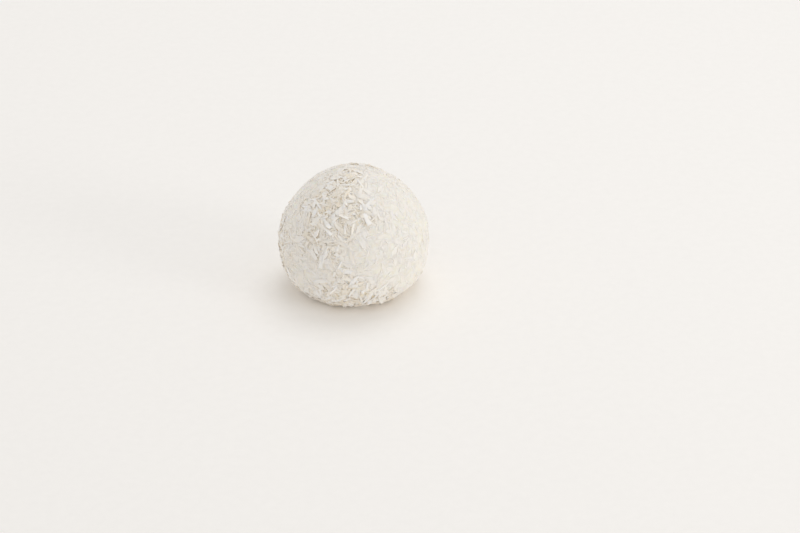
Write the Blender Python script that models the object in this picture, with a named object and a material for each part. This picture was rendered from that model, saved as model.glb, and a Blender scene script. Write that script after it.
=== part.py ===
"""Coconut ball: one soft round sweet rolled in desiccated coconut, sagged a little on its flat foot.

Metres, +Z up. The origin is the middle of the flat spot that the ball rests on, and +Y is its back.
The ball is one solid: a round core of paste with bumps of the coconut's size all over, and the
largest shreds and flakes of coconut fused on.
"""

import math
import random

import bmesh
import bpy
from mathutils import Matrix, Vector
from mathutils.bvhtree import BVHTree

# The ball over its coat of coconut
WIDTH = 0.0400
HEIGHT = 0.0341
COAT = 0.0004

# The core under the coat: a dome over a fuller belly, each a quarter of a superellipse
WAIST_HEIGHT = 0.0145
FOOT_RADIUS = 0.0090
PRESSED_FLAT = 0.00006
DOME_POWER = 1.8
BELLY_POWER = 2.6
OUTLINE_STEPS = 24
CORE_SUBDIVISIONS = 4
LOPSIDED = 0.006
BUMP = 0.00030

# The fused coconut: how many of each kind, and the shortest and longest of each size
SHRED_COUNT = 208
SHRED_LENGTH = (0.0024, 0.0044)
SHRED_WIDTH = (0.00055, 0.00090)
FLAKE_COUNT = 56
FLAKE_LENGTH = (0.0024, 0.0034)
FLAKE_WIDTH = (0.0013, 0.0019)
THICKNESS = 0.00055
SUNK = 0.00012
TILT = math.radians(7)
TWIST = math.radians(14)
ARCH = (-0.00010, 0.00015)
END_TAPER = 0.45
CLEAR_OF_FLOOR = 0.0004

GOLDEN_ANGLE = math.pi * (3 - math.sqrt(5))
SEED = 11


def clear_scene():
    for thing in list(bpy.data.objects):
        bpy.data.objects.remove(thing, do_unlink=True)


def make_material(name, colour, roughness):
    material = bpy.data.materials.new(name)
    material.use_nodes = True
    shader = material.node_tree.nodes["Principled BSDF"]
    shader.inputs["Base Color"].default_value = (*colour, 1)
    shader.inputs["Roughness"].default_value = roughness
    shader.inputs["Metallic"].default_value = 0
    return material


def core_outline():
    """The core's outline as (radius, height), from the top of the dome down to the foot's middle."""
    radius = WIDTH / 2 - COAT
    rise = HEIGHT - COAT - WAIST_HEIGHT
    angles = [math.pi / 2 * step / OUTLINE_STEPS for step in range(OUTLINE_STEPS, -1, -1)]
    outline = []
    for angle in angles:
        across = radius * abs(math.cos(angle)) ** (2 / DOME_POWER)
        outline.append((across, WAIST_HEIGHT + rise * math.sin(angle) ** (2 / DOME_POWER)))
    for angle in angles[1:]:
        across = FOOT_RADIUS + (radius - FOOT_RADIUS) * math.sin(angle) ** (2 / BELLY_POWER)
        outline.append((across, WAIST_HEIGHT * (1 - math.cos(angle) ** (2 / BELLY_POWER))))
    return outline + [(0.0, 0.0)]


def skin_areas(outline):
    """The turned area, over pi, from the top of the outline down to each of its points."""
    areas = [0.0]
    for (r0, z0), (r1, z1) in zip(outline, outline[1:]):
        areas.append(areas[-1] + (r0 + r1) * math.hypot(r1 - r0, z1 - z0))
    return areas


def lopsided(point):
    """A hand-rolled ball is a little wider one way than the other."""
    angle = math.atan2(point.y, point.x)
    stretch = 1 + LOPSIDED * (math.sin(2 * angle + 0.7) + 0.6 * math.sin(3 * angle + 2.1))
    return Vector((point.x * stretch, point.y * stretch, point.z))


def skin_point(outline, areas, share, turn):
    """The point on the core's skin with this share of the area above it, turned round the axis."""
    wanted = min(max(share, 0.0), 1.0) * areas[-1]
    index = next(i for i in range(len(areas) - 1) if areas[i + 1] >= wanted)
    part = (wanted - areas[index]) / (areas[index + 1] - areas[index])
    (r0, z0), (r1, z1) = outline[index], outline[index + 1]
    across = r0 + (r1 - r0) * part
    return lopsided(Vector((across * math.cos(turn), across * math.sin(turn), z0 + (z1 - z0) * part)))


def make_core(outline, areas):
    """The smooth paste: an even ball of triangles drawn on to the outline, area for area."""
    bm = bmesh.new()
    bmesh.ops.create_icosphere(bm, subdivisions=CORE_SUBDIVISIONS, radius=1)
    for vert in bm.verts:
        turn = math.atan2(vert.co.y, vert.co.x)
        vert.co = skin_point(outline, areas, (1 - vert.co.z) / 2, turn)
        if vert.co.z < PRESSED_FLAT:
            vert.co.z = 0
    bm.normal_update()
    return bm


def raise_bumps(core, draw):
    """Bumps of the coconut's size, on all of the core but the flat foot."""
    moves = [vert.normal * draw.uniform(-BUMP, BUMP) for vert in core.verts]
    for vert, move in zip(core.verts, moves):
        if vert.co.z > CLEAR_OF_FLOOR:
            vert.co += move


def make_piece(name, length, width, arch, twist, material):
    """A strip of coconut along X: a flat bar of two lengths, narrower at its ends, arched and twisted."""
    bm = bmesh.new()
    bmesh.ops.create_cube(bm, size=1, matrix=Matrix.Diagonal((length, width, THICKNESS, 1)))
    long_edges = [edge for edge in bm.edges if abs(edge.verts[0].co.x - edge.verts[1].co.x) > length / 2]
    bmesh.ops.subdivide_edges(bm, edges=long_edges, cuts=1, use_grid_fill=True)
    for vert in bm.verts:
        along = 2 * vert.co.x / length
        vert.co.y *= 1 - END_TAPER * abs(along)
        vert.co = Matrix.Rotation(twist * along, 3, "X") @ vert.co
        vert.co.z += arch * (1 - along * along)
    bmesh.ops.triangulate(bm, faces=bm.faces[:])
    mesh = bpy.data.meshes.new(name)
    bm.to_mesh(mesh)
    bm.free()
    mesh.materials.append(material)
    return bpy.data.objects.new(name, mesh)


def lay_piece(piece, surface, spot, draw):
    """Turn a piece on to the core's skin, sunk a little, and say whether it is clear of the floor."""
    spot, outward, _, _ = surface.find_nearest(spot)
    along = outward.orthogonal().normalized()
    along.rotate(Matrix.Rotation(draw.uniform(0, 2 * math.pi), 3, outward))
    frame = Matrix((along, outward.cross(along), outward)).transposed()
    tilt = Matrix.Rotation(draw.uniform(-TILT, TILT), 3, "Y")
    lift = THICKNESS / 2 - SUNK - draw.uniform(0, SUNK)
    for vert in piece.data.vertices:
        vert.co = spot + frame @ (tilt @ vert.co) + outward * lift
    return min(vert.co.z for vert in piece.data.vertices) > CLEAR_OF_FLOOR


def piece_sizes(draw):
    """The length and width of every piece, the largest first."""
    sizes = []
    for count, lengths, widths in (
        (FLAKE_COUNT, FLAKE_LENGTH, FLAKE_WIDTH),
        (SHRED_COUNT, SHRED_LENGTH, SHRED_WIDTH),
    ):
        for _ in range(count):
            sizes.append((draw.uniform(*lengths), draw.uniform(*widths)))
    return sorted(sizes, key=lambda size: size[0] * size[1], reverse=True)


def make_coat(surface, outline, areas, material, draw):
    """The collection of pieces to fuse, spread evenly over the skin by the golden angle."""
    coat = bpy.data.collections.new("coat")
    sizes = piece_sizes(draw)
    order = list(range(len(sizes)))
    draw.shuffle(order)
    coated = areas[-2] / areas[-1]
    for index, (length, width) in enumerate(sizes):
        arch = draw.uniform(*ARCH)
        twist = draw.uniform(-TWIST, TWIST)
        piece = make_piece(f"piece_{index:03d}", length, width, arch, twist, material)
        share = coated * (order[index] + 0.5) / len(sizes)
        spot = skin_point(outline, areas, share, order[index] * GOLDEN_ANGLE)
        if lay_piece(piece, surface, spot, draw):
            coat.objects.link(piece)
        else:
            bpy.data.objects.remove(piece)
    return coat


def fuse(ball, coat):
    """One union joins the coat to the core. Its separate pieces are then removed."""
    union = ball.modifiers.new("fuse", "BOOLEAN")
    union.operation = "UNION"
    union.solver = "EXACT"
    union.operand_type = "COLLECTION"
    union.collection = coat
    bpy.context.view_layer.objects.active = ball
    bpy.ops.object.modifier_apply(modifier=union.name)
    for piece in list(coat.objects):
        bpy.data.objects.remove(piece)
    bpy.data.collections.remove(coat)


def islands(bm):
    """The mesh's separate shells, each a list of faces."""
    waiting = set(bm.faces)
    shells = []
    while waiting:
        shell = [waiting.pop()]
        for face in shell:
            near = {other for edge in face.edges for other in edge.link_faces} & waiting
            waiting -= near
            shell.extend(sorted(near, key=lambda other: other.index))
        shells.append(shell)
    return shells


def keep_outer_shell(ball):
    """Fill the hollows that fusing sealed and drop loose scraps: only the outer shell stays."""
    bm = bmesh.new()
    bm.from_mesh(ball.data)
    bmesh.ops.triangulate(bm, faces=bm.faces[:])
    shells = sorted(islands(bm), key=len)
    for shell in shells[:-1]:
        bmesh.ops.delete(bm, geom=shell, context="FACES")
    bm.to_mesh(ball.data)
    bm.free()
    return len(shells) - 1


def main():
    clear_scene()
    draw = random.Random(SEED)
    coconut = make_material("coconut", (0.83, 0.78, 0.68), 0.75)
    outline = core_outline()
    areas = skin_areas(outline)
    core = make_core(outline, areas)
    surface = BVHTree.FromBMesh(core)
    raise_bumps(core, draw)
    mesh = bpy.data.meshes.new("coconut_ball")
    core.to_mesh(mesh)
    core.free()
    mesh.materials.append(coconut)
    ball = bpy.data.objects.new("coconut_ball", mesh)
    bpy.context.scene.collection.objects.link(ball)
    fuse(ball, make_coat(surface, outline, areas, coconut, draw))
    dropped = keep_outer_shell(ball)
    ball.data.shade_smooth()
    ball.data.set_sharp_from_angle(angle=math.radians(35))
    print(f"coconut_ball: {len(ball.data.polygons)} triangles, {dropped} shells dropped")


main()
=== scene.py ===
"""Coconut ball: the looks of one sweet rolled in desiccated coconut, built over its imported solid.

The paste is a round core, and four kinds of cut coconut lie over it in layers, pressed flat at the
foot: short shreds as a bed, broad flakes and long shreds on top, and fine grains between them.
"""

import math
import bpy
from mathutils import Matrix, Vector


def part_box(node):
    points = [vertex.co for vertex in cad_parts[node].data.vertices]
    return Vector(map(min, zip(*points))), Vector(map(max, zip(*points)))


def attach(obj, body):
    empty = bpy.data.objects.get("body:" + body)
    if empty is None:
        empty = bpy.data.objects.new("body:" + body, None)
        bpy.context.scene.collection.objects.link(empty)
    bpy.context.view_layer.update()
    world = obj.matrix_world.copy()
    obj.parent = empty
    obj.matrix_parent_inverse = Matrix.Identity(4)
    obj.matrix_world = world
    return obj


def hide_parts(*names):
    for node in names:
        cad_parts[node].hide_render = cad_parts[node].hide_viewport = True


bl_info = {
    "name": "Coconut Ball",
    "version": (1, 0, 0),
    "blender": (4, 5, 0),
    "location": "View3D > Sidebar > Coconut Ball",
    "description": "A soft round sweet with its coat of desiccated coconut, light and floor",
    "category": "Add Mesh",
}

import bmesh
import bpy
import numpy as np
from bpy.props import FloatProperty, FloatVectorProperty, IntProperty, PointerProperty
from bpy.types import Operator, Panel, PropertyGroup
from mathutils import Matrix, Vector, noise

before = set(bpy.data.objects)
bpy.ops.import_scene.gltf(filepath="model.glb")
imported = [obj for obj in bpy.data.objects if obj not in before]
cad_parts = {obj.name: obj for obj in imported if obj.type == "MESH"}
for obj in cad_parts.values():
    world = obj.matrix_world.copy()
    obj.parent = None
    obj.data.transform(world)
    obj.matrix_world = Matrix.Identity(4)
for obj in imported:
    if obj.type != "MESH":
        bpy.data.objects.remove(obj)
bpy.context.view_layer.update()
NODE = "coconut_ball"
BODY = "root"
LOW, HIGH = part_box(NODE)

GOLDEN_ANGLE = math.pi * (3 - math.sqrt(5))
# How far a piece may stick up: its steepest tilt, and the most that one end rises over its middle
MOST_TILT = math.radians(15)
MOST_RISE = 0.00030
# How far inside the solid's outline the coat's lies, so that the ends that stick up just reach it
ENDS_OUT = 0.00011
# The stock shapes of a kind are drawn with a seed this much above its scatter's
STOCK_SEED = 100


def length_setting(name, description, default):
    return FloatProperty(
        name=name, description=description, default=default, min=0, precision=5, unit="LENGTH"
    )


def length_range(name, description, default):
    return FloatVectorProperty(
        name=name, description=description, default=default, size=2, min=0, precision=5, unit="LENGTH"
    )


def angle_setting(name, description, degrees):
    return FloatProperty(
        name=name, description=description, default=math.radians(degrees), subtype="ANGLE"
    )


def share_setting(name, description, default):
    return FloatProperty(name=name, description=description, default=default, min=0)


def colour_setting(name, description, default):
    return FloatVectorProperty(
        name=name, description=description, default=default, size=3, min=0, max=1, subtype="COLOR"
    )


class BallSettings(PropertyGroup):
    """The outline that the coat fills, and the paste under it"""

    width: length_setting(
        "Width", "Across the coat at the waist", (HIGH.x - LOW.x + HIGH.y - LOW.y) / 2 - 2 * ENDS_OUT
    )
    height: length_setting("Height", "From the foot to the top of the coat", HIGH.z - ENDS_OUT)
    waist: length_setting("Waist height", "Height of the widest part", 0.0145)
    foot: length_setting("Foot radius", "Radius of the flat that the ball rests on", 0.0090)
    dome_power: FloatProperty(
        name="Dome power", description="Superellipse power above the waist", default=1.8, min=1
    )
    belly_power: FloatProperty(
        name="Belly power", description="Superellipse power below the waist", default=2.6, min=1
    )
    lopsided: FloatProperty(
        name="Lopsided", description="How uneven the rolling left the waist", default=0.006, min=0
    )
    lumps: length_setting("Lumps", "Depth of the soft lumps under the coat", 0.00016)
    coat: length_setting("Coat", "Depth of the coat over the paste", 0.00062)
    settled: length_setting("Settled", "How much nearer its outline the coat lies at the foot", 0.00016)
    pressed: length_setting("Pressed", "Height below which the foot is squashed flat", 0.0003)
    smooth_side: FloatVectorProperty(
        name="Smooth side", description="Direction of the side that was rolled smoothest",
        default=(0.86, -0.44, 0.26), size=3, subtype="DIRECTION"
    )
    smooth_back: FloatVectorProperty(
        name="Smooth back", description="Direction of the second smooth side, high at the back",
        default=(-0.42, 0.62, 0.66), size=3, subtype="DIRECTION"
    )


class ShortShredSettings(PropertyGroup):
    """The bed of short shreds"""

    count: IntProperty(name="Count", description="Number of short shreds", default=4400, min=1)
    shapes: IntProperty(name="Shapes", description="How many shapes they are cut in", default=12, min=1)
    length: length_range("Length", "Shortest and longest", (0.0013, 0.0027))
    width: length_range("Width", "Narrowest and widest", (0.00048, 0.00090))
    thickness: length_range("Thickness", "Thinnest and thickest", (0.00022, 0.00038))
    depth: length_range("Depth", "How far under the coat's outline they lie", (0.00038, 0.00058))
    arch: length_setting("Arch", "How far they bow", 0.00004)
    tilt: angle_setting("Tilt", "Typical rise of one end", 4)
    roll: angle_setting("Roll", "Typical turn about their length", 14)
    small: share_setting("Small", "Above one, more of the pieces are small", 1.0)
    seed: IntProperty(name="Seed", description="Seed of the scatter", default=3)


class LongShredSettings(PropertyGroup):
    """The long shreds on top"""

    count: IntProperty(name="Count", description="Number of long shreds", default=1900, min=1)
    shapes: IntProperty(name="Shapes", description="How many shapes they are cut in", default=16, min=1)
    length: length_range("Length", "Shortest and longest", (0.0022, 0.0054))
    width: length_range("Width", "Narrowest and widest", (0.00050, 0.00130))
    thickness: length_range("Thickness", "Thinnest and thickest", (0.00018, 0.00032))
    depth: length_range("Depth", "How far under the coat's outline they lie", (0.00026, 0.00050))
    arch: length_setting("Arch", "How far they bow", 0.00006)
    tilt: angle_setting("Tilt", "Typical rise of one end", 4)
    roll: angle_setting("Roll", "Typical turn about their length", 10)
    small: share_setting("Small", "Above one, more of the pieces are small", 1.3)
    seed: IntProperty(name="Seed", description="Seed of the scatter", default=5)


class FlakeSettings(PropertyGroup):
    """The broad flakes among the shreds"""

    count: IntProperty(name="Count", description="Number of broad flakes", default=680, min=1)
    length: length_range("Length", "Shortest and longest", (0.0020, 0.0050))
    width: length_range("Width", "Narrowest and widest", (0.00120, 0.00250))
    thickness: length_range("Thickness", "Thinnest and thickest", (0.00011, 0.00018))
    depth: length_range("Depth", "How far under the coat's outline they lie", (0.00024, 0.00052))
    arch: length_setting("Arch", "How far they bow", 0.00006)
    tilt: angle_setting("Tilt", "Typical rise of one end", 3)
    roll: angle_setting("Roll", "Typical turn about their length", 6)
    small: share_setting("Small", "Above one, more of the pieces are small", 1.4)
    seed: IntProperty(name="Seed", description="Seed of the scatter", default=7)


class GrainSettings(PropertyGroup):
    """The fine grains between the larger pieces"""

    count: IntProperty(name="Count", description="Number of fine grains", default=2600, min=1)
    shapes: IntProperty(name="Shapes", description="How many shapes they are cut in", default=8, min=1)
    length: length_range("Length", "Shortest and longest", (0.00060, 0.00140))
    width: length_range("Width", "Narrowest and widest", (0.00040, 0.00080))
    thickness: length_range("Thickness", "Thinnest and thickest", (0.00018, 0.00032))
    depth: length_range("Depth", "How far under the coat's outline they lie", (0.00036, 0.00058))
    arch: length_setting("Arch", "How far they bow", 0.0)
    tilt: angle_setting("Tilt", "Typical rise of one end", 10)
    roll: angle_setting("Roll", "Typical turn about their length", 15)
    small: share_setting("Small", "Above one, more of the pieces are small", 1.0)
    seed: IntProperty(name="Seed", description="Seed of the scatter", default=9)


class ColourSettings(PropertyGroup):
    """The colours of the paste and of the cut coconut"""

    paste: colour_setting("Paste", "Condensed milk and coconut paste", (0.905, 0.85, 0.74))
    # Skin side and ripe flesh also colour the pieces deep in the coat, as painted shade between the pieces
    # on top.
    skin: colour_setting("Skin side", "The few pieces cut from next to the skin", (0.83, 0.735, 0.58))
    ripe_and_painted_shade: colour_setting("Ripe flesh", "The creamier pieces of coconut", (0.895, 0.825, 0.71))
    flesh: colour_setting("Flesh", "Most pieces of coconut", (0.926, 0.875, 0.802))
    fresh: colour_setting("Fresh flesh", "The whitest pieces of coconut", (0.967, 0.950, 0.930))


class StageSettings(PropertyGroup):
    """The camera, the light and the floor"""

    lens: FloatProperty(name="Lens", description="Focal length in millimetres", default=118.5, min=10)
    look_down: angle_setting("Look down", "How far the camera looks down", 29.5)
    distance: length_setting("Distance", "From the camera to the foot, along its axis", 0.7033)
    aside: FloatProperty(
        name="Aside", description="How far right of the ball it aims", default=0.0122, unit="LENGTH"
    )
    above: FloatProperty(
        name="Above", description="How far above the foot it aims", default=0.0042, unit="LENGTH"
    )
    key_power: FloatProperty(
        name="Key", description="Power of the window light", default=1.32, unit="POWER"
    )
    fill_power: FloatProperty(
        name="Fill", description="Power of the overhead light", default=1.48, unit="POWER"
    )
    room: FloatProperty(name="Room", description="Brightness of the white room", default=0.72, min=0)
    floor: colour_setting("Floor", "The plain floor", (0.99, 0.975, 0.955))


def ball_settings():
    return bpy.context.scene.coconut_ball


def outline_of(ball, steps=90):
    """The ball's outline, top to foot: radius, height, both parts of its normal and the area above."""
    half = ball.width / 2
    rise = ball.height - ball.waist
    turn = np.linspace(math.pi / 2, 0, steps + 1)
    cos, sin = np.abs(np.cos(turn)), np.abs(np.sin(turn))
    dome_r = half * cos ** (2 / ball.dome_power)
    dome_z = ball.waist + rise * sin ** (2 / ball.dome_power)
    belly_r = ball.foot + (half - ball.foot) * sin[1:] ** (2 / ball.belly_power)
    belly_z = ball.waist * (1 - cos[1:] ** (2 / ball.belly_power))
    foot_r = np.linspace(ball.foot, 0, steps // 3)[1:]
    radius = np.concatenate((dome_r, belly_r, foot_r))
    height = np.concatenate((dome_z, belly_z, 0 * foot_r))
    run, drop = np.gradient(radius), np.gradient(height)
    size = np.hypot(run, drop)
    rings = (radius[1:] + radius[:-1]) * np.hypot(np.diff(radius), np.diff(height))
    area = np.concatenate(((0,), np.cumsum(rings)))
    return radius, height, -drop / size, run / size, area / area[-1]


def noise_at(points, size, shift=(0, 0, 0)):
    """Smooth noise at each point, with lumps of about this size."""
    return np.array([noise.noise(Vector(point) / size + Vector(shift)) for point in points])


def lumps_at(points, depth):
    """Soft lumps with smaller ones on them, the same for the paste and for what lies on it."""
    sizes_and_shares = ((0.0075, 1.0), (0.0036, 0.6))
    return depth * sum(share * noise_at(points, size) for size, share in sizes_and_shares)


def lean_with_lumps(points, normals, depth):
    """The outward normals, turned to follow the lumps."""
    step = 0.0001
    here = lumps_at(points, depth)
    slopes = [(lumps_at(points + step * axis, depth) - here) / step for axis in np.eye(3)]
    slope = np.stack(slopes, axis=1)
    slope -= normals * (slope * normals).sum(axis=1)[:, None]
    leaning = normals - slope
    return leaning / np.linalg.norm(leaning, axis=1)[:, None]


def unevenness(ball, turn):
    """How much wider than round the ball is at each turn about its axis, the same as its solid."""
    oval = np.sin(2 * turn + 0.7)
    three_sided = 0.6 * np.sin(3 * turn + 2.1)
    return 1 + ball.lopsided * (oval + three_sided)


def skin(ball, share, turn, depth):
    """Points and outward normals on the ball, `depth` under its outline, by share of area and turn."""
    radius, height, normal_r, normal_z, area = outline_of(ball)
    r, z, nr, nz = (np.interp(share, area, values) for values in (radius, height, normal_r, normal_z))
    across = np.stack((np.cos(turn), np.sin(turn)), axis=1)
    normals = np.column_stack((across * nr[:, None], nz))
    normals /= np.linalg.norm(normals, axis=1)[:, None]
    points = np.column_stack((across * (r * unevenness(ball, turn))[:, None], z))
    foot_starts = 0.75
    faces_floor = np.clip((-normals[:, 2] - foot_starts) / (1 - foot_starts), 0, 1)
    lift = lumps_at(points, ball.lumps) - depth + ball.settled * faces_floor
    return points + normals * lift[:, None], lean_with_lumps(points, normals, ball.lumps)


def rolled_smooth(normals, direction, patches, border, ragged, blend):
    """How smoothly one side was rolled: nought outside its ragged border, and one well inside it."""
    return np.clip((normals @ np.array(direction) - border - ragged * patches) / blend, 0, 1)


def looseness(ball, points, normals):
    """How loosely the coconut lies: well under one where it was rolled smooth, up to two in the rough."""
    patch_size, patch_shift = 0.011, (-0.1, 0.8, 5.7)
    spot_size, spot_shift, spot_share = 0.005, (14.3, 5.0, 19.3), 0.4
    patches = noise_at(points, patch_size, patch_shift)
    patches += spot_share * noise_at(points, spot_size, spot_shift)
    side = rolled_smooth(normals, ball.smooth_side, patches, border=0.22, ragged=0.4, blend=0.55)
    back = rolled_smooth(normals, ball.smooth_back, patches, border=0.54, ragged=0.3, blend=0.25)
    near_foot = np.clip(1 - points[:, 2] / ball.waist * 2, 0, 1)
    usual, by_patch, by_foot, by_rolling = 1.05, 2.1, 0.4, 0.9
    loose = usual + by_patch * patches + by_foot * near_foot
    loose *= 1 - by_rolling * np.maximum(side, back)
    tightest, loosest = 0.10, 2.0
    return np.clip(loose, tightest, loosest)


def press_flat(ball, points):
    """Squash what would be under or near the floor into a thin layer on it, keeping its order."""
    gap = 0.00001
    room = ball.pressed - gap
    low = points[..., 2] < ball.pressed
    points[..., 2][low] = gap + room * np.exp((points[..., 2][low] - ball.pressed) / room)


def shade_smooth(mesh, sharp_degrees):
    mesh.shade_smooth()
    mesh.set_sharp_from_angle(angle=math.radians(sharp_degrees))


def place(name, mesh, material):
    """Put a finished piece in the scene, where it rides on the body and stands for the plain node."""
    mesh.materials.append(material)
    piece = bpy.data.objects.new(name, mesh)
    bpy.context.scene.collection.objects.link(piece)
    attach(piece, BODY)
    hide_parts(NODE)
    return piece


def in_fixed_order(points, corners):
    """The same shape with its points and triangles sorted, as operators may leave them in any order."""
    order = np.lexsort(points.T)
    corners = np.argsort(order)[corners]
    firsts = corners.argmin(axis=1)[:, None]
    corners = np.take_along_axis(corners, (firsts + np.arange(3)) % 3, axis=1)
    return points[order], corners[np.lexsort(corners.T)]


def arrays_of(bm):
    """A stock shape as arrays: its points, and the three corners of each triangle."""
    bmesh.ops.triangulate(bm, faces=bm.faces[:])
    bmesh.ops.recalc_face_normals(bm, faces=bm.faces[:])
    bm.verts.ensure_lookup_table()
    points = np.array([vert.co for vert in bm.verts])
    corners = np.array([[vert.index for vert in face.verts] for face in bm.faces])
    bm.free()
    return in_fixed_order(points, corners)


def long_edges_of(bm):
    """The edges of a bar of unit size that run along X."""
    return [edge for edge in bm.edges if abs(edge.verts[0].co.x - edge.verts[1].co.x) > 0.5]


def shred_stock(draw, cuts):
    """One shred of unit size along X: a straight splinter, wider at one end and cut aslant at both."""
    bm = bmesh.new()
    bmesh.ops.create_cube(bm, size=1)
    bmesh.ops.bevel(
        bm, geom=long_edges_of(bm), offset=0.24, segments=1, profile=0.5, affect="EDGES", material=-1
    )
    bmesh.ops.subdivide_edges(bm, edges=long_edges_of(bm), cuts=cuts, use_grid_fill=True)
    tail, head = draw.uniform(0.30, 0.80), draw.uniform(0.60, 1.0)
    slant_tail, slant_head = draw.uniform(-0.22, 0.22, 2)
    wedge = draw.uniform(-0.5, 0.5)
    crook = draw.uniform(-0.16, 0.16)
    end_thickness, belly = 0.75, 0.25
    for vert in bm.verts:
        along = vert.co.x + 0.5
        middle = 4 * along * (1 - along)
        vert.co.x += vert.co.y * (slant_tail * (1 - along) + slant_head * along)
        vert.co.z *= (1 + wedge * vert.co.y) * (end_thickness + (1 - end_thickness) * middle)
        vert.co.y *= tail + (head - tail) * along + belly * middle
        vert.co.y += crook * middle
    return arrays_of(bm)


def flake_stock(draw, sides):
    """One flake of unit size: a thin chip with straight broken edges, its corners a little up or down."""
    bm = bmesh.new()
    bmesh.ops.create_circle(bm, cap_ends=True, cap_tris=True, segments=sides, radius=0.5)
    for vert in bm.verts:
        turn = draw.uniform(-1.1, 1.1) / sides
        vert.co = Matrix.Rotation(turn, 3, "Z") @ vert.co * draw.uniform(0.72, 1.15)
        vert.co.z = draw.uniform(-0.5, 0.5)
    top = bmesh.ops.extrude_face_region(bm, geom=bm.faces[:])["geom"]
    lifted = [part for part in top if isinstance(part, bmesh.types.BMVert)]
    narrower = 0.90
    for vert in lifted:
        vert.co.x *= narrower
        vert.co.y *= narrower
        vert.co.z += 1
    return arrays_of(bm)


def grain_stock(draw):
    """One fine grain of unit size: a crumb with flat cuts and sharp corners."""
    bm = bmesh.new()
    bmesh.ops.create_cube(bm, size=1)
    slant = 0.25
    for vert in bm.verts:
        vert.co *= draw.uniform(0.45, 1.0)
        vert.co.x += slant * vert.co.y
    return arrays_of(bm)


def bend(points, lengths, arch, sweep, twist):
    """Bow each piece up and aside along its length, its mean height kept, and twist it."""
    along = 2 * points[..., 0] / lengths[:, None]
    mean_square = 0.33
    bow = along**2 - mean_square
    turn = twist[:, None] * along
    y, z = points[..., 1].copy(), points[..., 2].copy()
    points[..., 1] = y * np.cos(turn) - z * np.sin(turn) + sweep[:, None] * bow
    points[..., 2] = y * np.sin(turn) + z * np.cos(turn) - arch[:, None] * bow
    return points


def axes_on(normals, heading, tilt, roll):
    """The three axes of each piece: along it, across it and out of the ball."""
    nearly_upright = 0.9
    helper = np.where(np.abs(normals[:, 2:]) < nearly_upright, (0, 0, 1), (1, 0, 0))
    east = np.cross(helper, normals)
    east /= np.linalg.norm(east, axis=1)[:, None]
    north = np.cross(normals, east)
    along = east * np.cos(heading)[:, None] + north * np.sin(heading)[:, None]
    across = np.cross(normals, along)
    tipped = along * np.cos(tilt)[:, None] + normals * np.sin(tilt)[:, None]
    out = np.cross(tipped, across)
    rolled = across * np.cos(roll)[:, None] + out * np.sin(roll)[:, None]
    return np.stack((tipped, rolled, np.cross(tipped, rolled)), axis=1)


def sizes_of(kind, loose, rng):
    """The length, width and thickness of each piece: small where tight, short and broad where loose."""
    sizes = [
        low + (high - low) * rng.uniform(0, 1, kind.count) ** kind.small
        for low, high in (kind.length, kind.width, kind.thickness)
    ]
    scale = np.interp(loose, (0.1, 0.6, 1.5), (0.86, 1.02, 0.88))
    breadth = np.interp(loose, (0.6, 1.5), (1.0, 1.15))
    sizes[0] *= scale
    sizes[1] *= scale * breadth
    return sizes


def shades_of(ball, spots, depth, loose, rng):
    """A shade for each piece: darker and creamier deep in the coat, as painted shade between the pieces on
    top, more even where it lies tight, and mottled.
    """
    darkest, at_outline, painted_shade_by_depth = 0.3, 1.6, 1.4
    # Deeper pieces get darker, creamier tones: painted shade in the gaps between the pieces on top; the
    # random draw is each piece's own tone.
    shades = rng.uniform(darkest, 1, len(spots)) * (at_outline - painted_shade_by_depth * depth / ball.coat)
    middle_shade, even_under, most_even = 0.5, 1.1, 0.9
    shades += (middle_shade - shades) * np.clip(even_under - loose, 0, most_even)
    mottle_size, mottle_shift, mottle_strength = 0.0036, (3.1, 8.7, 5.2), 0.20
    return shades + mottle_strength * noise_at(spots, mottle_size, mottle_shift)


def scatter(ball, kind):
    """Where every piece of one kind lies: its spot, its three axes, its sizes, its bends and its shade."""
    rng = np.random.default_rng(kind.seed)
    count = kind.count
    turn_spread, twist_spread, heading_spread = 1.2, 0.20, 1.0
    order = np.arange(count)
    share = (order + rng.uniform(0, 1, count)) / count
    turn = order * GOLDEN_ANGLE + rng.normal(0, turn_spread, count) * math.sqrt(1 / count)
    nearest, deepest = kind.depth
    spots, normals = skin(ball, share, turn, np.full(count, nearest))
    loose = looseness(ball, spots, normals)
    thinnest_layer = 0.2
    in_layer = rng.uniform(-0.5, 0.5, count) * np.clip(loose, thinnest_layer, 1)
    sunk = (deepest - nearest) * (0.5 + in_layer)
    spots -= normals * sunk[:, None]
    sizes = sizes_of(kind, loose, rng)
    bends = [rng.normal(0, spread, count) for spread in (kind.arch, kind.arch, twist_spread)]
    curve_of_ball = sizes[0] ** 2 / (4 * ball.width)
    bends[0] += curve_of_ball
    lean_size = 0.006
    lean = noise_at(spots, lean_size)
    heading = lean * 2 * math.pi + rng.normal(0, heading_spread, count)
    most = np.minimum(MOST_TILT, 2 * MOST_RISE / sizes[0])
    # A draw with long tails: most pieces lie flat and a few stick up
    freedom = 3
    tilt = np.clip(rng.standard_t(freedom, count) * kind.tilt * loose, -most, most)
    axes = axes_on(normals, heading, tilt, rng.normal(0, kind.roll, count) * loose)
    shades = shades_of(ball, spots, nearest + sunk, loose, rng)
    return spots, axes, np.stack(sizes, axis=1), np.stack(bends, axis=1), shades


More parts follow.
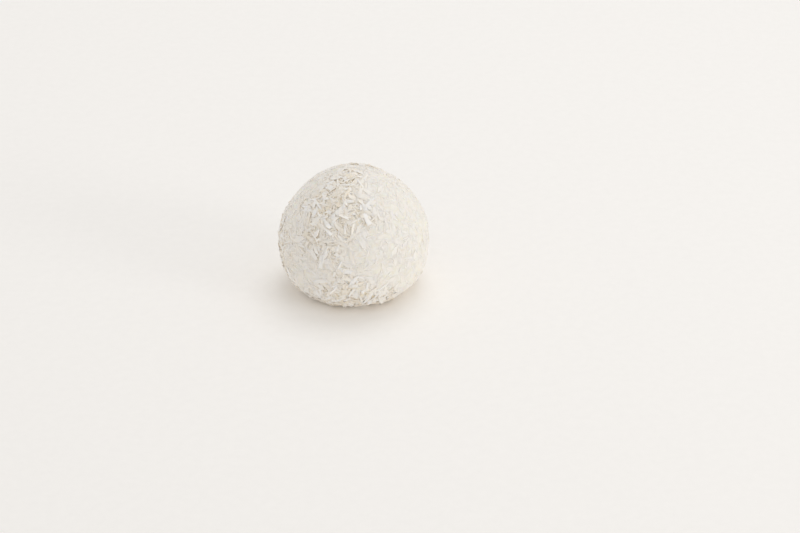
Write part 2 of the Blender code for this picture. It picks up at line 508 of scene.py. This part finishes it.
def joined(name, ball, kind, stocks):
    """One mesh of all the pieces of a kind, with a shade for each piece and a map along and across it."""
    spots, axes, sizes, bends, shades = scatter(ball, kind)
    points, loops, tones, along_across = [], [], [], []
    start = 0
    fibre_step = 0.37
    for index, (shape, corners) in enumerate(stocks):
        chosen = np.arange(index, kind.count, len(stocks))
        shapes = bend(shape * sizes[chosen, None, :], sizes[chosen, 0], *bends[chosen].T)
        laid = spots[chosen, None, :] + np.einsum("nvi,nij->nvj", shapes, axes[chosen])
        press_flat(ball, laid)
        points.append(laid.reshape(-1, 3))
        firsts = start + np.arange(len(chosen)) * len(shape)
        loops.append((corners[None] + firsts[:, None, None]).ravel())
        tones.append(np.repeat(shades[chosen], len(shape)))
        flat = np.tile(shape[corners.ravel(), :2], (len(chosen), 1))
        along_across.append(flat + np.repeat(chosen * fibre_step, corners.size)[:, None])
        start += len(chosen) * len(shape)
    loops = np.concatenate(loops)
    mesh = bpy.data.meshes.new(name)
    mesh.vertices.add(start)
    mesh.vertices.foreach_set("co", np.concatenate(points).astype(np.float32).ravel())
    mesh.loops.add(len(loops))
    mesh.loops.foreach_set("vertex_index", loops.astype(np.int32))
    mesh.polygons.add(len(loops) // 3)
    mesh.polygons.foreach_set("loop_start", np.arange(0, len(loops), 3, dtype=np.int32))
    mesh.update(calc_edges=True)
    shade_layer = mesh.attributes.new("shade", "FLOAT", "POINT")
    shade_layer.data.foreach_set("value", np.concatenate(tones).astype(np.float32))
    fibres = mesh.uv_layers.new(name="fibres")
    fibres.data.foreach_set("uv", np.concatenate(along_across).astype(np.float32).ravel())
    return mesh


def lay(name, kind, stocks, sharp_degrees):
    """Lay one kind of coconut over the ball, as one piece."""
    mesh = joined(name, ball_settings(), kind, stocks)
    shade_smooth(mesh, sharp_degrees)
    place(name, mesh, coconut_material())


def new_material(name):
    material = bpy.data.materials.new(name)
    material.use_nodes = True
    nodes, links = material.node_tree.nodes, material.node_tree.links
    return material, nodes, links, nodes["Principled BSDF"]


def ramp_of(nodes, stops):
    ramp = nodes.new("ShaderNodeValToRGB")
    while len(ramp.color_ramp.elements) < len(stops):
        ramp.color_ramp.elements.new(0.5)
    for element, (position, colour) in zip(ramp.color_ramp.elements, stops):
        element.position = position
        element.color = (*colour, 1)
    return ramp


def soft_noise(nodes, links, vector, scale, detail):
    noise_node = nodes.new("ShaderNodeTexNoise")
    noise_node.inputs["Scale"].default_value = scale
    noise_node.inputs["Detail"].default_value = detail
    links.new(vector, noise_node.inputs["Vector"])
    return noise_node.outputs["Fac"]


def add_relief(nodes, links, shader, height, strength, distance):
    relief = nodes.new("ShaderNodeBump")
    relief.inputs["Strength"].default_value = strength
    relief.inputs["Distance"].default_value = distance
    links.new(height, relief.inputs["Height"])
    links.new(relief.outputs["Normal"], shader.inputs["Normal"])


def coconut_material():
    """Cut coconut: a shade for each piece, faint fibres along it, and light that soaks in a little."""
    material = bpy.data.materials.get("cut coconut")
    if material:
        return material
    colours = bpy.context.scene.coconut_colours
    material, nodes, links, shader = new_material("cut coconut")
    piece_shade = nodes.new("ShaderNodeAttribute")
    piece_shade.attribute_name = "shade"
    # The low shades, which the deep pieces get, are painted shade between the pieces on top as well as
    # creamier coconut.
    tones = ((0.05, colours.skin), (0.16, colours.ripe_and_painted_shade), (0.36, colours.flesh), (0.80, colours.fresh))
    flesh = ramp_of(nodes, tones)
    links.new(piece_shade.outputs["Fac"], flesh.inputs["Fac"])

    fibre_map = nodes.new("ShaderNodeUVMap")
    fibre_map.uv_map = "fibres"
    stretch = nodes.new("ShaderNodeMapping")
    stretch.inputs["Scale"].default_value = (1.6, 9.0, 1.0)
    links.new(fibre_map.outputs["UV"], stretch.inputs["Vector"])
    fibres = soft_noise(nodes, links, stretch.outputs["Vector"], scale=1.0, detail=3.0)
    add_relief(nodes, links, shader, fibres, strength=0.35, distance=0.00004)

    streaks = nodes.new("ShaderNodeMix")
    streaks.data_type = "RGBA"
    streaks.blend_type = "MULTIPLY"
    streaks.inputs["Factor"].default_value = 0.35
    streak_tone = ramp_of(nodes, ((0.35, (0.86, 0.82, 0.74)), (0.60, (1.0, 1.0, 1.0))))
    links.new(fibres, streak_tone.inputs["Fac"])
    links.new(flesh.outputs["Color"], streaks.inputs["A"])
    links.new(streak_tone.outputs["Color"], streaks.inputs["B"])
    links.new(streaks.outputs["Result"], shader.inputs["Base Color"])

    gloss = nodes.new("ShaderNodeMapRange")
    gloss.inputs["To Min"].default_value = 0.28
    gloss.inputs["To Max"].default_value = 0.52
    links.new(fibres, gloss.inputs["Value"])
    links.new(gloss.outputs["Result"], shader.inputs["Roughness"])
    shader.inputs["Specular IOR Level"].default_value = 0.45
    shader.inputs["Subsurface Weight"].default_value = 0.25
    shader.inputs["Subsurface Radius"].default_value = (1.0, 0.9, 0.75)
    shader.inputs["Subsurface Scale"].default_value = 0.00025
    return material


def paste_material():
    """The paste: cream with mottles and fine crumbs."""
    colours = bpy.context.scene.coconut_colours
    material, nodes, links, shader = new_material("paste")
    on_piece = nodes.new("ShaderNodeTexCoord").outputs["Object"]
    mottle = soft_noise(nodes, links, on_piece, scale=900.0, detail=4.0)
    pale = tuple(0.5 * (a + b) for a, b in zip(colours.paste, colours.fresh))
    tone = ramp_of(nodes, ((0.35, colours.paste), (0.65, pale)))
    links.new(mottle, tone.inputs["Fac"])
    links.new(tone.outputs["Color"], shader.inputs["Base Color"])
    crumbs = soft_noise(nodes, links, on_piece, scale=2600.0, detail=3.0)
    add_relief(nodes, links, shader, crumbs, strength=0.4, distance=0.00012)
    shader.inputs["Roughness"].default_value = 0.55
    shader.inputs["Subsurface Weight"].default_value = 0.4
    shader.inputs["Subsurface Radius"].default_value = (1.0, 0.8, 0.5)
    shader.inputs["Subsurface Scale"].default_value = 0.0015
    return material


class COCONUT_OT_paste(Operator):
    """Model the round core of paste under the coat"""

    bl_idname = "coconut.paste"
    bl_label = "Paste"

    def execute(self, context):
        ball = ball_settings()
        bm = bmesh.new()
        bmesh.ops.create_icosphere(bm, subdivisions=6, radius=1)
        rounds = np.array([vert.co for vert in bm.verts])
        turn = np.arctan2(rounds[:, 1], rounds[:, 0])
        points, normals = skin(ball, (1 - rounds[:, 2]) / 2, turn, np.full(len(rounds), ball.coat))
        loose = np.clip(looseness(ball, points, normals), 0, 1)
        full_where_tight, less_where_loose = 0.62, 0.46
        filled = ball.coat * (full_where_tight - less_where_loose * loose)
        crumb_size, crumb_depth = 0.0011, 0.00012
        crumbs = noise_at(points, crumb_size)
        points += normals * (filled + crumb_depth * crumbs)[:, None]
        press_flat(ball, points)
        for vert, point in zip(bm.verts, points):
            vert.co = point
        mesh = bpy.data.meshes.new("paste_core")
        bm.to_mesh(mesh)
        bm.free()
        shade_smooth(mesh, sharp_degrees=180)
        place("paste_core", mesh, paste_material())
        return {"FINISHED"}


class COCONUT_OT_short_shreds(Operator):
    """Lay the bed of short shreds on the paste"""

    bl_idname = "coconut.short_shreds"
    bl_label = "Short Shreds"

    def execute(self, context):
        kind = context.scene.coconut_short_shreds
        draw = np.random.default_rng(kind.seed + STOCK_SEED)
        stocks = [shred_stock(draw, cuts=1) for _ in range(kind.shapes)]
        lay("short_shreds", kind, stocks, sharp_degrees=60)
        return {"FINISHED"}


class COCONUT_OT_long_shreds(Operator):
    """Lay the long shreds on top"""

    bl_idname = "coconut.long_shreds"
    bl_label = "Long Shreds"

    def execute(self, context):
        kind = context.scene.coconut_long_shreds
        draw = np.random.default_rng(kind.seed + STOCK_SEED)
        stocks = [shred_stock(draw, cuts=2) for _ in range(kind.shapes)]
        lay("long_shreds", kind, stocks, sharp_degrees=60)
        return {"FINISHED"}


class COCONUT_OT_flakes(Operator):
    """Lay the broad flakes among the shreds"""

    bl_idname = "coconut.flakes"
    bl_label = "Broad Flakes"

    def execute(self, context):
        kind = context.scene.coconut_flakes
        draw = np.random.default_rng(kind.seed + STOCK_SEED)
        sides_of_pairs = (4, 5, 6, 4, 5, 3, 5, 4)
        stocks = [flake_stock(draw, sides) for sides in sides_of_pairs for _ in range(2)]
        lay("broad_flakes", kind, stocks, sharp_degrees=45)
        return {"FINISHED"}


class COCONUT_OT_grains(Operator):
    """Strew the fine grains between the larger pieces"""

    bl_idname = "coconut.grains"
    bl_label = "Fine Grains"

    def execute(self, context):
        kind = context.scene.coconut_grains
        draw = np.random.default_rng(kind.seed + STOCK_SEED)
        stocks = [grain_stock(draw) for _ in range(kind.shapes)]
        lay("fine_grains", kind, stocks, sharp_degrees=30)
        return {"FINISHED"}


def add_camera(stage):
    """The camera looks down on the ball, and aims a little above and to the right of it."""
    down = stage.look_down
    forward = Vector((0, math.cos(down), -math.sin(down)))
    up = Vector((0, math.sin(down), math.cos(down)))
    right = Vector((1, 0, 0))
    data = bpy.data.cameras.new("camera")
    data.lens = stage.lens
    data.sensor_width = 36
    data.clip_start = 0.01
    camera = bpy.data.objects.new("camera", data)
    camera.location = right * stage.aside + up * stage.above - forward * stage.distance
    camera.rotation_euler = (math.pi / 2 - down, 0, 0)
    bpy.context.scene.collection.objects.link(camera)
    bpy.context.scene.camera = camera


def add_area_light(name, power, size, location, colour):
    data = bpy.data.lights.new(name, "AREA")
    data.shape = "DISK"
    data.size = size
    data.energy = power
    data.color = colour
    lamp = bpy.data.objects.new(name, data)
    lamp.location = location
    lamp.rotation_euler = (-Vector(location)).to_track_quat("-Z", "Y").to_euler()
    lamp.visible_camera = False
    bpy.context.scene.collection.objects.link(lamp)


def add_floor(stage):
    bm = bmesh.new()
    bmesh.ops.create_grid(bm, x_segments=1, y_segments=1, size=4)
    mesh = bpy.data.meshes.new("floor")
    bm.to_mesh(mesh)
    bm.free()
    material, nodes, links, shader = new_material("floor")
    on_floor = nodes.new("ShaderNodeTexCoord").outputs["Object"]
    tooth = soft_noise(nodes, links, on_floor, scale=400.0, detail=2.0)
    darker = tuple(0.985 * part for part in stage.floor)
    tone = ramp_of(nodes, ((0.3, darker), (0.7, stage.floor)))
    links.new(tooth, tone.inputs["Fac"])
    links.new(tone.outputs["Color"], shader.inputs["Base Color"])
    shader.inputs["Roughness"].default_value = 0.8
    mesh.materials.append(material)
    floor = bpy.data.objects.new("floor", mesh)
    bpy.context.scene.collection.objects.link(floor)


def add_room(stage):
    world = bpy.data.worlds.new("room")
    bpy.context.scene.world = world
    world.use_nodes = True
    background = world.node_tree.nodes["Background"]
    background.inputs["Color"].default_value = (1.0, 0.98, 0.955, 1)
    background.inputs["Strength"].default_value = stage.room


class COCONUT_OT_stage(Operator):
    """Set up the camera, the soft light and the plain floor"""

    bl_idname = "coconut.stage"
    bl_label = "Stage"

    def execute(self, context):
        stage = context.scene.coconut_stage
        add_camera(stage)
        add_area_light(
            "window", stage.key_power, size=0.34, location=(0.74, -0.38, 0.19), colour=(1.0, 1.0, 0.99)
        )
        add_area_light(
            "overhead", stage.fill_power, size=0.60, location=(0.12, 0.30, 0.82), colour=(0.97, 0.985, 1.0)
        )
        add_floor(stage)
        add_room(stage)
        context.scene.view_settings.view_transform = "Standard"
        context.scene.cycles.diffuse_bounces = 8
        return {"FINISHED"}


class COCONUT_PT_panel(Panel):
    """All the settings, and a button for each piece and for the stage"""

    bl_idname = "COCONUT_PT_panel"
    bl_label = "Coconut Ball"
    bl_space_type = "VIEW_3D"
    bl_region_type = "UI"
    bl_category = "Coconut Ball"

    def draw(self, context):
        layout = self.layout
        for settings, _ in SETTINGS:
            group = getattr(context.scene, settings)
            box = layout.box()
            box.label(text=settings.replace("coconut_", "").replace("_", " ").title())
            for name in group.__annotations__:
                box.prop(group, name)
        for operator in OPERATORS:
            layout.operator(operator.bl_idname)


SETTINGS = (
    ("coconut_ball", BallSettings),
    ("coconut_short_shreds", ShortShredSettings),
    ("coconut_long_shreds", LongShredSettings),
    ("coconut_flakes", FlakeSettings),
    ("coconut_grains", GrainSettings),
    ("coconut_colours", ColourSettings),
    ("coconut_stage", StageSettings),
)
OPERATORS = (
    COCONUT_OT_stage,
    COCONUT_OT_paste,
    COCONUT_OT_short_shreds,
    COCONUT_OT_flakes,
    COCONUT_OT_long_shreds,
    COCONUT_OT_grains,
)


def register():
    for name, group in SETTINGS:
        bpy.utils.register_class(group)
        setattr(bpy.types.Scene, name, PointerProperty(type=group))
    for operator in OPERATORS:
        bpy.utils.register_class(operator)
    bpy.utils.register_class(COCONUT_PT_panel)


def unregister():
    bpy.utils.unregister_class(COCONUT_PT_panel)
    for operator in reversed(OPERATORS):
        bpy.utils.unregister_class(operator)
    for name, group in reversed(SETTINGS):
        delattr(bpy.types.Scene, name)
        bpy.utils.unregister_class(group)


def main():
    register()
    bpy.ops.coconut.stage()
    bpy.ops.coconut.paste()
    bpy.ops.coconut.short_shreds()
    bpy.ops.coconut.flakes()
    bpy.ops.coconut.long_shreds()
    bpy.ops.coconut.grains()


if __name__ == "__main__":
    main()
